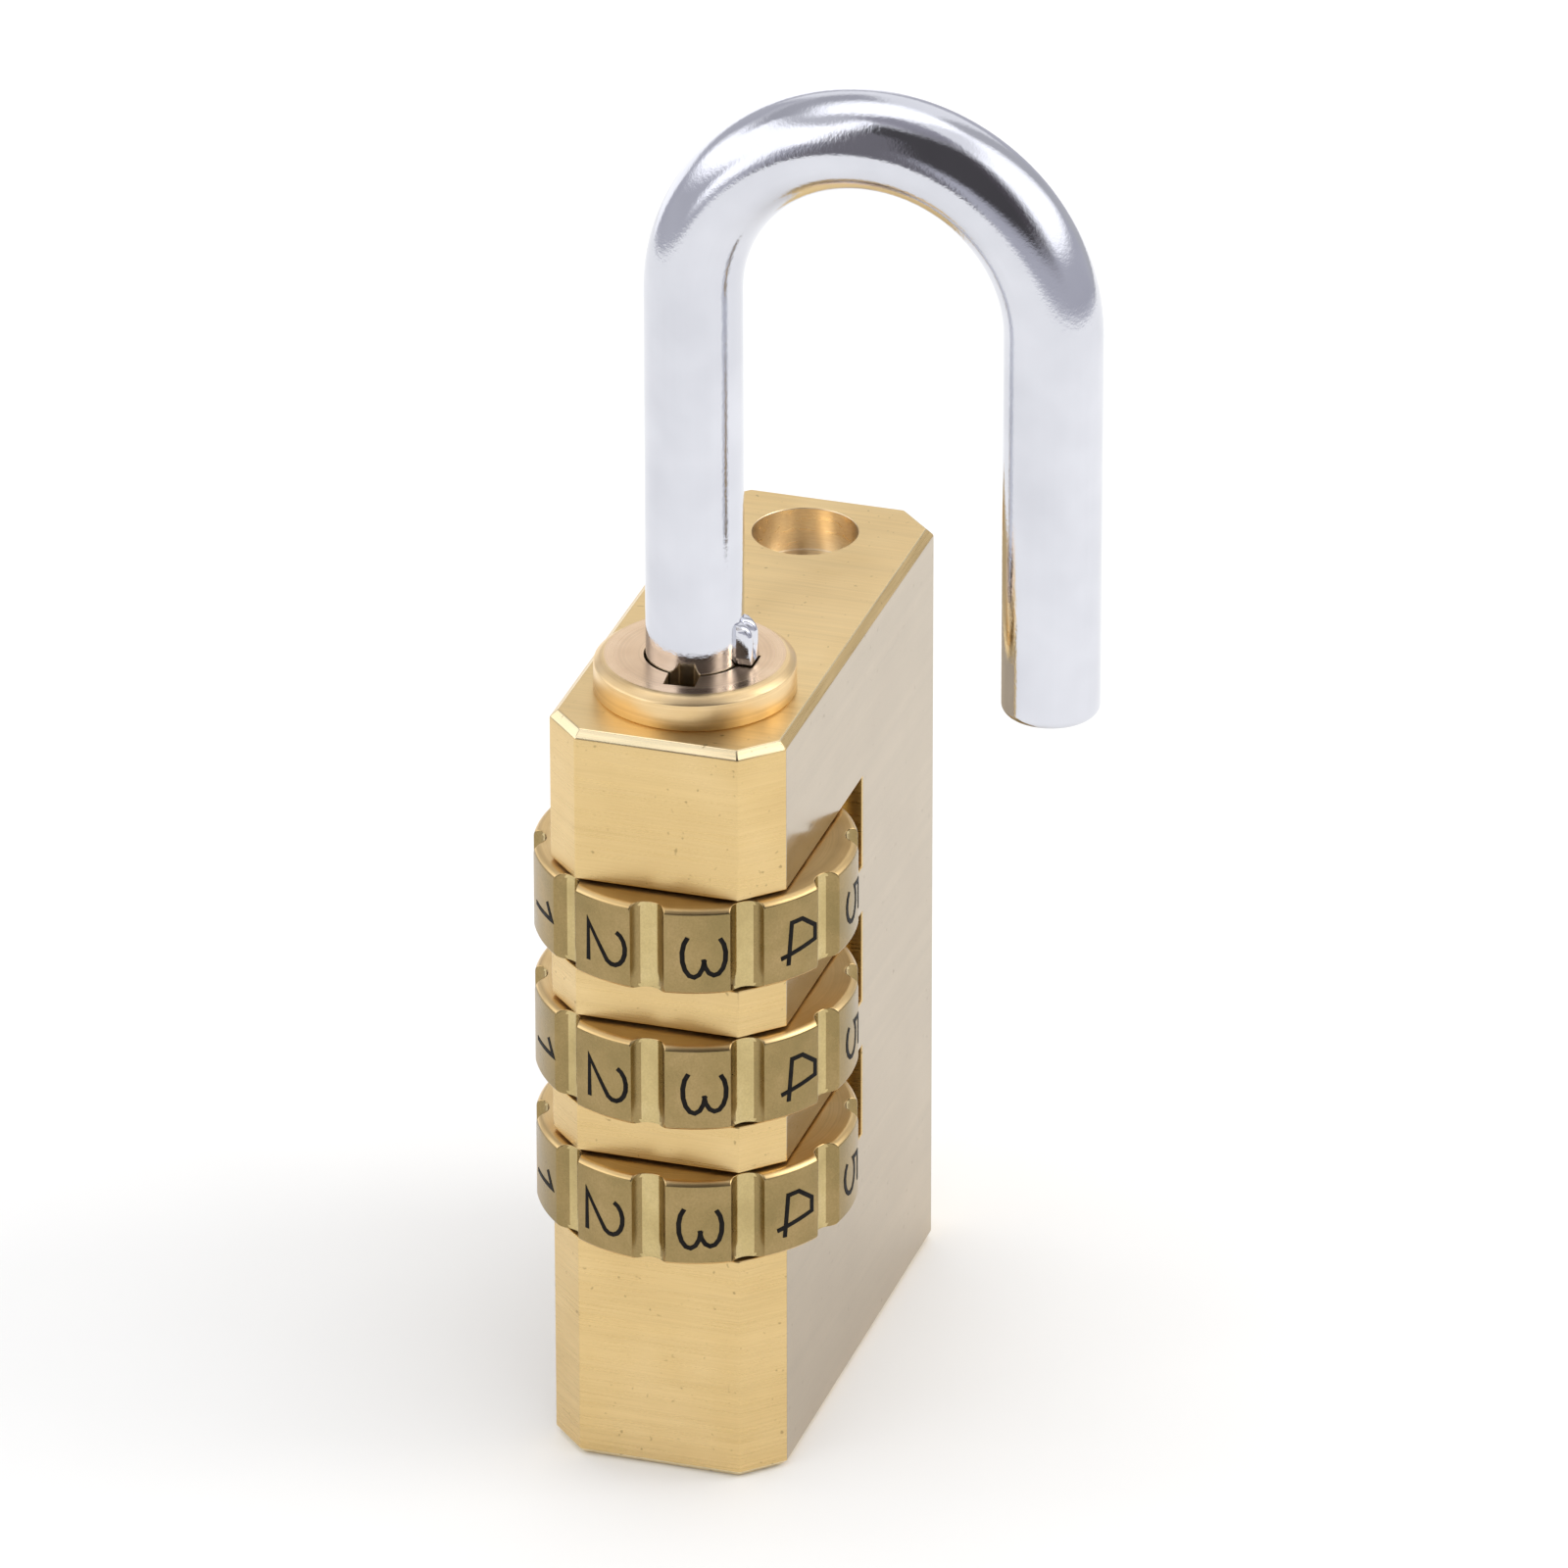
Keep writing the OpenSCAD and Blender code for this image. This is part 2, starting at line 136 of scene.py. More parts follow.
def smooth(piece, angle=35):
    """Smooth shading up to this angle, led by the larger faces."""
    piece.data.shade_smooth()
    piece.data.set_sharp_from_angle(angle=math.radians(angle))
    weighted = piece.modifiers.new("even shading", "WEIGHTED_NORMAL")
    weighted.keep_sharp = True
    weighted.weight = 80


def add_piece(name, mesh, body, replaced=None, materials=()):
    piece = bpy.data.objects.new(name, mesh)
    bpy.context.scene.collection.objects.link(piece)
    for material in materials:
        mesh.materials.append(material)
    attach(piece, body)
    if replaced:
        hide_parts(replaced)
    return piece


def loft(bm, rings, closed=True):
    """Quads between rings of the same number of points; returns the rings' vertices."""
    made = [[bm.verts.new(p) for p in ring] for ring in rings]
    for low, high in zip(made, made[1:]):
        count = len(low)
        for i in range(count if closed else count - 1):
            j = (i + 1) % count
            bm.faces.new((low[i], low[j], high[j], high[i]))
    return made


# Shader helpers ----------------------------------------------------------------

class Shader:
    """A node material that is built up from short calls."""

    def __init__(self, name):
        self.material = bpy.data.materials.new(name)
        self.material.use_nodes = True
        self.tree = self.material.node_tree
        self.bsdf = self.tree.nodes["Principled BSDF"]
        self.coords = self.node("ShaderNodeTexCoord").outputs["Object"]

    def node(self, kind, **settings):
        made = self.tree.nodes.new(kind)
        for key, value in settings.items():
            setattr(made, key, value)
        return made

    def link(self, source, target):
        self.tree.links.new(source, target)

    def noise(self, scale, stretch=(1, 1, 1), detail=3.0, roughness=0.55, source=None):
        """Noise with cells of 1/scale metres, squeezed along each axis by stretch."""
        mapping = self.node("ShaderNodeMapping")
        mapping.inputs["Scale"].default_value = [scale * s for s in stretch]
        self.link(source or self.coords, mapping.inputs["Vector"])
        made = self.node("ShaderNodeTexNoise")
        made.inputs["Scale"].default_value = 1.0
        made.inputs["Detail"].default_value = detail
        made.inputs["Roughness"].default_value = roughness
        self.link(mapping.outputs["Vector"], made.inputs["Vector"])
        return made.outputs["Fac"]

    def span(self, value, low, high, from_low=0.3, from_high=0.7):
        """Carries a noise value onto a range of numbers."""
        made = self.node("ShaderNodeMapRange")
        made.inputs["From Min"].default_value = from_low
        made.inputs["From Max"].default_value = from_high
        made.inputs["To Min"].default_value = low
        made.inputs["To Max"].default_value = high
        self.link(value, made.inputs["Value"])
        return made.outputs["Result"]

    def tones(self, value, colours, low=0.3, high=0.7):
        """Runs a noise value through evenly spaced colours."""
        ramp = self.node("ShaderNodeValToRGB")
        stops = ramp.color_ramp.elements
        while len(stops) < len(colours):
            stops.new(0.5)
        for i, colour in enumerate(colours):
            stops[i].position = low + (high - low) * i / (len(colours) - 1)
            stops[i].color = (*colour, 1)
        self.link(value, ramp.inputs["Fac"])
        return ramp.outputs["Color"]

    def mix(self, factor, first, second):
        made = self.node("ShaderNodeMix", data_type="RGBA")
        self.link(factor, made.inputs[0])
        for socket, value in ((made.inputs[6], first), (made.inputs[7], second)):
            if isinstance(value, tuple):
                socket.default_value = (*value, 1)
            else:
                self.link(value, socket)
        return made.outputs[2]

    def bump(self, height, strength, depth, under=None):
        made = self.node("ShaderNodeBump")
        made.inputs["Strength"].default_value = strength
        made.inputs["Distance"].default_value = depth
        self.link(height, made.inputs["Height"])
        if under:
            self.link(under, made.inputs["Normal"])
        return made.outputs["Normal"]

    def metal(self, colour, roughness, normal=None, anisotropic=0.0, turn=0.0):
        self.bsdf.inputs["Metallic"].default_value = 1.0
        self.bsdf.inputs["Anisotropic"].default_value = anisotropic
        self.bsdf.inputs["Anisotropic Rotation"].default_value = turn
        self.link(colour, self.bsdf.inputs["Base Color"])
        self.link(roughness, self.bsdf.inputs["Roughness"])
        if normal:
            self.link(normal, self.bsdf.inputs["Normal"])
        return self.material


# Materials --------------------------------------------------------------------------

def brushed_brass(name, colours, stretch, roughness, lines=0.35, anisotropic=0.4):
    """Brass brushed along the axes whose stretch is small."""
    s = Shader(name)
    patches = s.noise(170, detail=2.0)
    fine = s.noise(1, [k * 7500 for k in stretch], detail=4.0, roughness=0.7)
    broad = s.noise(1, [k * 1500 for k in stretch], detail=3.0)
    tone = s.tones(patches, colours)
    tone = s.mix(s.span(broad, 0.0, 0.6), tone, tuple(0.84 * c for c in colours[1]))
    tone = s.mix(s.span(fine, 0.0, 0.5), tone, tuple(min(1.0, 1.14 * c) for c in colours[-1]))
    specks = s.noise(2600, detail=1.0)
    tone = s.mix(s.span(specks, 0.0, 0.5, 0.72, 0.80), tone, (0.20, 0.13, 0.05))
    level = s.span(fine, roughness - 0.07, roughness + 0.07)
    normal = s.bump(broad, lines * 0.5, 0.010 * MM)
    normal = s.bump(fine, lines, 0.006 * MM, under=normal)
    return s.metal(tone, level, normal, anisotropic, 0.25)


def turned_brass(name, colours, roughness, lines=0.4):
    """Brass with the fine rings that a lathe leaves round the dial axis."""
    s = Shader(name)
    apart = s.node("ShaderNodeSeparateXYZ")
    s.link(s.coords, apart.inputs[0])
    offset = s.node("ShaderNodeMath", operation="SUBTRACT")
    offset.inputs[1].default_value = AXIS_X
    s.link(apart.outputs["X"], offset.inputs[0])
    together = s.node("ShaderNodeCombineXYZ")
    s.link(offset.outputs[0], together.inputs["X"])
    s.link(apart.outputs["Y"], together.inputs["Y"])
    length = s.node("ShaderNodeVectorMath", operation="LENGTH")
    s.link(together.outputs[0], length.inputs[0])
    rings = s.node("ShaderNodeCombineXYZ")
    s.link(length.outputs["Value"], rings.inputs["X"])
    s.link(apart.outputs["Z"], rings.inputs["Z"])
    fine = s.noise(9000, detail=2.0, source=rings.outputs[0])
    wide = s.noise(2600, detail=1.0, source=rings.outputs[0])
    patches = s.noise(400, detail=2.0)
    tone = s.tones(patches, colours)
    tone = s.mix(s.span(fine, 0.0, 0.45), tone, tuple(0.78 * c for c in colours[0]))
    level = s.span(wide, roughness - 0.05, roughness + 0.08)
    normal = s.bump(wide, lines, 0.008 * MM)
    normal = s.bump(fine, lines, 0.004 * MM, under=normal)
    return s.metal(tone, level, normal, 0.3, 0.25)


def satin_brass(name, colours, roughness, grain=0.3):
    """Brass with an even, slightly grainy finish."""
    s = Shader(name)
    patches = s.noise(350, detail=3.0)
    grains = s.noise(9000, detail=2.0)
    tone = s.tones(patches, colours)
    tone = s.mix(s.span(grains, 0.0, 0.35), tone, tuple(0.72 * c for c in colours[0]))
    level = s.span(patches, roughness - 0.05, roughness + 0.07)
    return s.metal(tone, level, s.bump(grains, grain, 0.006 * MM))


def chrome():
    """Bright plating over drawn wire, with a trace of orange peel."""
    s = Shader("chrome_plate")
    haze = s.noise(260, detail=2.0)
    peel = s.noise(4500, detail=3.0, roughness=0.65)
    tone = s.tones(haze, ((0.63, 0.64, 0.69), (0.70, 0.71, 0.76)))
    level = s.span(haze, 0.05, 0.10)
    return s.metal(tone, level, s.bump(peel, 0.5, 0.016 * MM))


def spring_steel():
    s = Shader("spring_steel")
    haze = s.noise(500, detail=2.0)
    grains = s.noise(7000, detail=2.0)
    tone = s.tones(haze, ((0.36, 0.37, 0.39), (0.47, 0.47, 0.49)))
    level = s.span(grains, 0.22, 0.36)
    return s.metal(tone, level, s.bump(grains, 0.2, 0.004 * MM))


def enamel():
    """Black paint rubbed into the engraved numerals."""
    s = Shader("black_enamel_fill")
    haze = s.noise(1800, detail=3.0)
    tone = s.tones(haze, ((0.004, 0.003, 0.003), (0.014, 0.012, 0.010)))
    s.link(tone, s.bsdf.inputs["Base Color"])
    s.bsdf.inputs["Specular IOR Level"].default_value = 0.08
    s.link(s.span(haze, 0.4, 0.6), s.bsdf.inputs["Roughness"])
    s.link(s.bump(haze, 0.3, 0.01 * MM), s.bsdf.inputs["Normal"])
    return s.material


GOLD = ((0.66, 0.465, 0.20), (0.72, 0.52, 0.235), (0.78, 0.58, 0.29))
# Paler, bluish copy of the body brass for the broad sides: painted reflection of the pale room in its colour.
BROAD_SIDE_PAINTED_REFLECTION = ((0.43, 0.35, 0.253), (0.458, 0.378, 0.272), (0.492, 0.406, 0.296))
PINK = ((0.80, 0.57, 0.36), (0.86, 0.63, 0.41), (0.90, 0.68, 0.46))
# Lighter copy of the body brass for the top and base: painted light on the face that looks up.
TOP_PAINTED_LIGHT = ((0.73, 0.52, 0.23), (0.80, 0.585, 0.275), (0.86, 0.65, 0.33))
# Lighter copy of the body brass for the end bevels: painted highlight along the edges.
EDGE = ((0.86, 0.66, 0.36), (0.92, 0.74, 0.45), (0.96, 0.80, 0.52))
# Lighter copy for the collar's side: painted light.
COLLAR_RIM_PAINTED_LIGHT = ((0.88, 0.63, 0.31), (0.94, 0.70, 0.38), (0.98, 0.76, 0.45))
# Much lighter copy for the toe hole's wall: painted light against the shade inside the hole.
HOLE_PAINTED_LIGHT = ((0.94, 0.76, 0.52), (0.97, 0.83, 0.60), (0.99, 0.88, 0.68))
OLIVE = ((0.29, 0.215, 0.09), (0.36, 0.26, 0.112), (0.44, 0.315, 0.145))
# Lighter copy for the middle of each finger groove: painted highlight, also brightened against the groove's
# own shade.
GROOVE_PAINTED_HIGHLIGHT = ((0.50, 0.385, 0.175), (0.60, 0.47, 0.22), (0.70, 0.56, 0.29))
# Lighter copy of the dial brass for the dial's flat sides and upper rims: painted light and a painted rim
# highlight.
DIAL_TOP_PAINTED_LIGHT = ((0.71, 0.49, 0.215), (0.78, 0.555, 0.25), (0.84, 0.615, 0.30))

ROUND_THE_SIDES = (0.02, 0.02, 1)
ACROSS_THE_TOP = (1, 0.02, 1)

side_brass = brushed_brass("brass_narrow_sides", GOLD, ROUND_THE_SIDES, 0.30, 0.5)
# The broad sides' paler tones are a painted reflection.
broad_brass_painted_reflection = brushed_brass("brass_broad_sides_painted_reflection", BROAD_SIDE_PAINTED_REFLECTION, ROUND_THE_SIDES, 0.16, 0.2)
# The top's lighter tones are painted light.
top_brass_painted_light = brushed_brass("brass_top_painted_light", TOP_PAINTED_LIGHT, ACROSS_THE_TOP, 0.38, 0.5)
# The bevels' lighter tones are a painted highlight.
bevel_brass_painted_highlight = brushed_brass("brass_bevels_painted_highlight", EDGE, ROUND_THE_SIDES, 0.22, 0.3)
collar_brass = turned_brass("brass_collar_top", PINK, 0.24)
# The collar side's lighter tones are painted light.
collar_rim_brass_painted_light = turned_brass("brass_collar_rim_painted_light", COLLAR_RIM_PAINTED_LIGHT, 0.34, 0.6)
# The hole wall's light tones are painted light against its shade.
hole_brass_painted_light = turned_brass("brass_drilled_hole_painted_light", HOLE_PAINTED_LIGHT, 0.30)
dial_brass = satin_brass("brass_dial_faces", OLIVE, 0.28)
# The grooves' stripe is a painted highlight.
groove_brass_painted_highlight = satin_brass("brass_dial_grooves_painted_highlight", GROOVE_PAINTED_HIGHLIGHT, 0.13, 0.25)
# The dial sides' lighter tones are painted light.
dial_side_brass_painted_light = turned_brass("brass_dial_sides_painted_light", DIAL_TOP_PAINTED_LIGHT, 0.32)
ring_brass = turned_brass("brass_code_rings", GOLD, 0.3)
chrome_plate = chrome()
steel = spring_steel()
black = enamel()


# Body and collar -----------------------------------------------------------------------

def body_finish(face):
    """0 on a narrow side, 1 on a broad side, 2 on the top and base, 3 in the toe hole, 4 on an end bevel."""
    middle, normal = face.center, face.normal
    if (middle.xy - TOE_HOLE).length < TOE_HOLE_R:
        if BODY_HIGH.z - TOE_HOLE_REACH < middle.z < BODY_HIGH.z - LEVEL:
            return 3
    if abs(normal.z) > 0.9:
        return 2
    near_end = not BODY_LOW.z + BEVEL_REACH < middle.z < BODY_HIGH.z - BEVEL_REACH
    if near_end and abs(normal.z) > 0.3 and abs(normal.y) < 0.6:
        return 4
    if abs(normal.y) > 0.9 and abs(middle.y) > BODY_HIGH.y - LEVEL:
        return 1
    return 0


def bar_body():
    bm = clean_copy("case")
    bevel_edges(bm, BODY_EDGE, 2, 25)
    mesh = make_mesh(bm, "bar_body")
    # The narrow sides hold the brass's own tone; the broad sides, top, toe hole and bevels get copies with
    # painted reflection, light and highlight in their colours.
    finishes = (side_brass, broad_brass_painted_reflection, top_brass_painted_light, hole_brass_painted_light, bevel_brass_painted_highlight)
    piece = add_piece("bar_body", mesh, "case", "case", finishes)
    for face in mesh.polygons:
        face.material_index = body_finish(face)
    smooth(piece, 60)


def at_collar_foot(edge):
    """True on the lower edge of the collar's flange."""
    return all(
        abs(v.co.z - BODY_HIGH.z) < LEVEL and (v.co.xy - Vector((AXIS_X, 0))).length > COLLAR_SLEEVE_R
        for v in edge.verts
    )


def collar_flange():
    bm = clean_copy("collar")
    bevel_edges(bm, COLLAR_FOOT, 1, 25, at_collar_foot)
    bevel_edges(bm, COLLAR_EDGE, 2, 46)
    mesh = make_mesh(bm, "collar_flange")
    # The rim takes a lighter copy of the brass: painted light on the collar's side.
    finishes = (collar_brass, collar_rim_brass_painted_light)
    piece = add_piece("collar_flange", mesh, "case", "collar", finishes)
    for face in mesh.polygons:
        face.material_index = 0 if face.normal.z > 0.9 else 1
    smooth(piece, 40)


# Shackle ----------------------------------------------------------------------------------

def rounded_end(z):
    """Heights and radii of a leg's rounded lower end, from its tip at z upwards."""
    steps = 6
    rows = []
    for k in range(steps + 1):
        a = math.pi / 2 * k / steps
        rows.append((z + TIP_ROUND * (1 - math.cos(a)), WIRE_R - TIP_ROUND * (1 - math.sin(a))))
    return rows


def shackle_bow():
    """The wire as a sweep: up the long leg, round the bend and down the free leg."""
    sides = 72
    bend_steps = 72
    bend_z = SHACKLE_HIGH.z - LEG_SPACING / 2 - WIRE_R
    rows = rounded_end(SHACKLE_LOW.z)
    rows += [
        (CLIP_GROOVE_LOW, WIRE_R), (CLIP_GROOVE_LOW, CLIP_GROOVE_R),
        (CLIP_GROOVE_HIGH, CLIP_GROOVE_R), (CLIP_GROOVE_HIGH, WIRE_R),
    ]
    rings = [(Vector((0, 0, z)), Vector((0, 1, 0)), r) for z, r in rows]
    for k in range(bend_steps + 1):
        a = math.pi * k / bend_steps
        outward = Vector((0, math.cos(a), math.sin(a)))
        centre = Vector((0, -LEG_SPACING / 2, bend_z)) + outward * LEG_SPACING / 2
        rings.append((centre, outward, WIRE_R))
    for z, r in reversed(rounded_end(FREE_LEG_FOOT)):
        rings.append((Vector((0, -LEG_SPACING, z)), Vector((0, -1, 0)), r))
    across = Vector((1, 0, 0))
    loops = []
    for centre, outward, r in rings:
        place = centre + Vector((AXIS_X, 0, 0))
        loop = []
        for i in range(sides):
            b = 2 * math.pi * i / sides
            loop.append(place + outward * (r * math.cos(b)) + across * (r * math.sin(b)))
        loops.append(loop)
    bm = bmesh.new()
    made = loft(bm, loops)
    bm.faces.new(made[0])
    bm.faces.new(made[-1])
    mesh = make_mesh(bm, "shackle_bow")
    piece = add_piece("shackle_bow", mesh, "shackle", "shackle", (chrome_plate,))
    smooth(piece, 35)


def shackle_key():
    """Fin with two upset ridges on the long leg, which finds the collar's keyways."""
    root = WIRE_R - KEY_SUNK
    top = KEY_LOW + KEY_HEIGHT
    half = KEY_WIDTH / 2
    across = 20
    rows = 16
    loops = []
    for j in range(rows + 1):
        z = KEY_LOW + KEY_HEIGHT * j / rows
        near_top = max(0.0, (z - top + KEY_ROUND) / KEY_ROUND)
        shaped = min(1.0, (z - KEY_LOW) / KEY_FOOT)
        reach = math.sqrt(max(0.0, 1 - near_top ** 2))
        loop = [Vector((AXIS_X - half, -root, z))]
        for i in range(across + 1):
            u = i / across
            wave = abs(math.sin(2 * math.pi * (0.1 + 0.8 * u)))
            ridges = 1 - KEY_VALLEY * shaped * (1 - wave)
            r = root + (KEY_R - root) * ridges * reach
            loop.append(Vector((AXIS_X - half + 2 * half * u, -r, z)))
        loop.append(Vector((AXIS_X + half, -root, z)))
        loops.append(loop)
    bm = bmesh.new()
    made = loft(bm, loops)
    bm.faces.new(made[0])
    bm.faces.new(made[-1])
    mesh = make_mesh(bm, "shackle_key")
    piece = add_piece("shackle_key", mesh, "shackle", None, (chrome_plate,))
    smooth(piece, 50)


# Dials ----------------------------------------------------------------------------------

def groove_reach(rim):
    """Half angle of the groove's arc, at its own centre, where it meets radius rim."""
    centre = DIAL_R - GROOVE_DEPTH + GROOVE_R
    return math.acos((centre ** 2 + GROOVE_R ** 2 - rim ** 2) / (2 * centre * GROOVE_R))


def dial_outline(rim, z):
    """One loop round the dial: each groove's arc, then the face up to the next groove."""
    centre = DIAL_R - GROOVE_DEPTH + GROOVE_R
    reach = groove_reach(rim)
    edge = math.atan2(GROOVE_R * math.sin(reach), centre - GROOVE_R * math.cos(reach))
    loop = []
    for k in range(DIGITS):
        turn = Matrix.Rotation(k * STEP, 3, "Z")
        for i in range(GROOVE_STEPS + 1):
            a = reach * (2 * i / GROOVE_STEPS - 1)
            loop.append(turn @ Vector((centre - GROOVE_R * math.cos(a), GROOVE_R * math.sin(a), z)))
        for i in range(1, FACE_STEPS):
            a = edge + (STEP - 2 * edge) * i / FACE_STEPS
            loop.append(turn @ Vector((rim * math.cos(a), rim * math.sin(a), z)))
    return loop


def bore_outline(z):
    """One loop round the dial's bore: each arc, then the notch after it."""
    half = math.asin(NOTCH_WIDTH / 2 / DIAL_BORE_R)
    deep = math.sqrt(NOTCH_R ** 2 - (NOTCH_WIDTH / 2) ** 2)
    loop = []
    for k in range(DIGITS):
        turn = Matrix.Rotation(k * STEP, 3, "Z")
        for i in range(BORE_STEPS + 1):
            a = (STEP / 2 - half) * (2 * i / BORE_STEPS - 1)
            loop.append(turn @ Vector((DIAL_BORE_R * math.cos(a), DIAL_BORE_R * math.sin(a), z)))
        notch = Matrix.Rotation((k + 0.5) * STEP, 3, "Z")
        for side in (-1, 1):
            loop.append(notch @ Vector((deep, side * NOTCH_WIDTH / 2, z)))
    return loop


def cap(bm, outer, inner):
    """Ten flat faces between the outline and the bore, parted at the grooves' middles."""
    m = len(outer) // DIGITS
    n = len(inner) // DIGITS
    for k in range(DIGITS):
        a = [outer[(k * m + GROOVE_STEPS // 2 + i) % len(outer)] for i in range(m + 1)]
        b = [inner[(k * n + BORE_STEPS // 2 + i) % len(inner)] for i in range(n + 1)]
        bm.faces.new(a + b[::-1])


def on_dial_outside(edge):
    return all(v.co.xy.length > DIAL_MIDDLE_R for v in edge.verts)


def dial_blank():
    """A dial with rounded rims, grooves and notches but no numerals yet, round the origin."""
    bm = bmesh.new()
    hh = DIAL_H / 2
    rim_steps = 6
    levels = []
    for k in range(rim_steps + 1):
        a = math.pi / 2 * k / rim_steps
        levels.append((DIAL_R - RIM_ROUND * (1 - math.sin(a)), hh - RIM_ROUND * (1 - math.cos(a))))
    lower = [dial_outline(rim, -z) for rim, z in levels]
    upper = [dial_outline(rim, z) for rim, z in reversed(levels)]
    outer = loft(bm, lower + upper)
    inner = loft(bm, [bore_outline(-hh), bore_outline(hh)])
    cap(bm, outer[0], inner[0])
    cap(bm, outer[-1], inner[-1])
    bmesh.ops.recalc_face_normals(bm, faces=bm.faces)
    bevel_edges(bm, DIAL_EDGE, 3, 25, on_dial_outside)
    return make_mesh(bm, "dial_blank")


def numeral_cutter(place, centre):
    """The numerals of one dial, lengthened outwards so that they cut its faces."""
    bm = bmesh.new()
    bm.from_mesh(NODES["numerals_" + place].data)
    bmesh.ops.remove_doubles(bm, verts=bm.verts, dist=0.0005 * MM)
    bmesh.ops.translate(bm, verts=bm.verts, vec=-centre)
    skin = DIAL_R - 0.1 * MM
    beyond = DIAL_R + 0.3 * MM
    for v in bm.verts:
        r = v.co.xy.length
        if r > skin:
            v.co.xy *= beyond / r
    return make_mesh(bm, "numeral_cutter")


def engraved_dial(place, centre):
    """Cuts the numerals out of the blank; returns the mesh with its middle at the origin."""
    blank = bpy.data.objects.new("dial_blank", dial_blank())
    cutter = bpy.data.objects.new("numeral_cutter", numeral_cutter(place, centre))
    for made in (blank, cutter):
        bpy.context.scene.collection.objects.link(made)
    cut = blank.modifiers.new("engrave", "BOOLEAN")
    cut.operation = "DIFFERENCE"
    cut.solver = "EXACT"
    cut.object = cutter
    graph = bpy.context.evaluated_depsgraph_get()
    mesh = bpy.data.meshes.new_from_object(blank.evaluated_get(graph))
    for made in (blank, cutter):
        bpy.data.objects.remove(made)
    return mesh


def shade_dial(mesh):
    """Exact round shading on the numbered faces, and soft shading over the other rounded edges."""
    limit = math.cos(math.radians(40))
    spot = [v.co.copy() for v in mesh.vertices]
    on_face = []
    around = [[] for _ in spot]
    for face in mesh.polygons:
        outward = Vector((face.center.x, face.center.y, 0)).normalized()
        near_skin = all(spot[i].xy.length > DIAL_R - FACE_MARGIN for i in face.vertices)
        on_face.append(near_skin and face.normal.dot(outward) > 0.98)
        for i in face.vertices:
            around[i].append(face.index)
    normals = []
    for face in mesh.polygons:
        for i in face.vertices:
            if on_face[face.index]:
                normals.append(Vector((spot[i].x, spot[i].y, 0)).normalized())
                continue
            total = Vector()
            for other in around[i]:
                neighbour = mesh.polygons[other]
                if neighbour.normal.dot(face.normal) > limit:
                    if on_face[other]:
                        total = Vector((spot[i].x, spot[i].y, 0))
                        break
                    total += neighbour.normal * neighbour.area
            normals.append(total.normalized())
    mesh.shade_smooth()
    mesh.normals_split_custom_set(normals)


def dial_region(face):
    """0 on the numbered faces, 1 down the middle of a finger groove, 2 on the flat sides and the rims where
    they face more up or down than out. 1 and 2 take lighter copies of the brass: a painted highlight in the
    grooves, and painted light with a painted rim highlight on the sides.
    """
    # The lighter copy stops partway down the rim's rounding, so its painted highlight ends in a darker line
    # below.
    if abs(face.normal.z) > 0.5:
        return 2
    turn = math.atan2(face.center.y, face.center.x) / STEP
    off = abs(turn - round(turn)) * STEP
    radius = face.center.xy.length
    across = radius * math.sin(off)
    deep = DIAL_R - GROOVE_DEPTH - 0.1 * MM < radius < DIAL_R - FACE_MARGIN
    # Faces within the stripe down a groove's middle get the painted highlight.
    return 1 if deep and across < PAINTED_GROOVE_STRIPE_HALF_WIDTH else 0


def dials():
    # The groove middles and the sides and rims take lighter copies: painted highlight and painted light.
    finishes = (dial_brass, groove_brass_painted_highlight, dial_side_brass_painted_light)
    for place in DIALS:
        low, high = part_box("dial_" + place)
        centre = (low + high) / 2
        mesh = engraved_dial(place, centre)
        mesh.materials.clear()
        shade_dial(mesh)
        regions = [dial_region(face) for face in mesh.polygons]
        mesh.transform(Matrix.Translation(centre))
        add_piece("number_dial_" + place, mesh, "dial_" + place, "dial_" + place, finishes)
        for face, region in zip(mesh.polygons, regions):
            face.material_index = region


# Inner pieces that stay as they are -------------------------------------------------------

def dress_inner_pieces():
    finish = {
        "code_pin": steel, "retaining": steel, "spring_follower": steel, "lift_spring": steel,
        "stop_washer": steel, "reset_wave": steel, "detent_spring": steel,
        "ring_spacer": ring_brass, "code_ring": ring_brass, "numerals": black,
    }
    for name, node in NODES.items():
        for start, material in finish.items():
            if name.startswith(start):
                node.data.materials.clear()
                node.data.materials.append(material)


# Stage: floor, light and camera --------------------------------------------------------------

def pale_floor():
    """Plain white floor. The metal mirrors only its near part; the far part is there for the camera."""
    shader = Shader("pale_floor")
    grain = shader.noise(40, detail=2.0)
    tone = shader.tones(grain, ((0.88, 0.88, 0.88), (0.90, 0.90, 0.90)))
    shader.link(tone, shader.bsdf.inputs["Base Color"])
    shader.bsdf.inputs["Roughness"].default_value = 0.9
    shader.bsdf.inputs["Specular IOR Level"].default_value = 0.1
    near, far = 0.27, 1.2
    sides = 96
    angles = [2 * math.pi * i / sides for i in range(sides)]
    rim = [Vector((math.cos(a), math.sin(a), 0)) for a in angles]
    z = Vector((0, 0, BODY_LOW.z - 0.02 * MM))
    for name, inner, outer in (("floor_near", 0.0, near), ("floor_far", near, far)):
        bm = bmesh.new()
        if inner:
            loft(bm, [[inner * p + z for p in rim], [outer * p + z for p in rim]])
        else:
            bm.faces.new([bm.verts.new(outer * p + z) for p in rim])
        made = bpy.data.objects.new(name, make_mesh(bm, name))
        bpy.context.scene.collection.objects.link(made)
        made.data.materials.append(shader.material)
        if inner:
            made.visible_glossy = False


CAMERA_AZIMUTH = math.radians(-72.61)
CAMERA_ELEVATION = math.radians(27.11)
CAMERA_ROLL = math.radians(-0.085)
CAMERA_DISTANCE = 0.7319
CAMERA_AIM = Vector((1.48, -1.66, 31.79)) * MM
CAMERA_LENS = 327.2


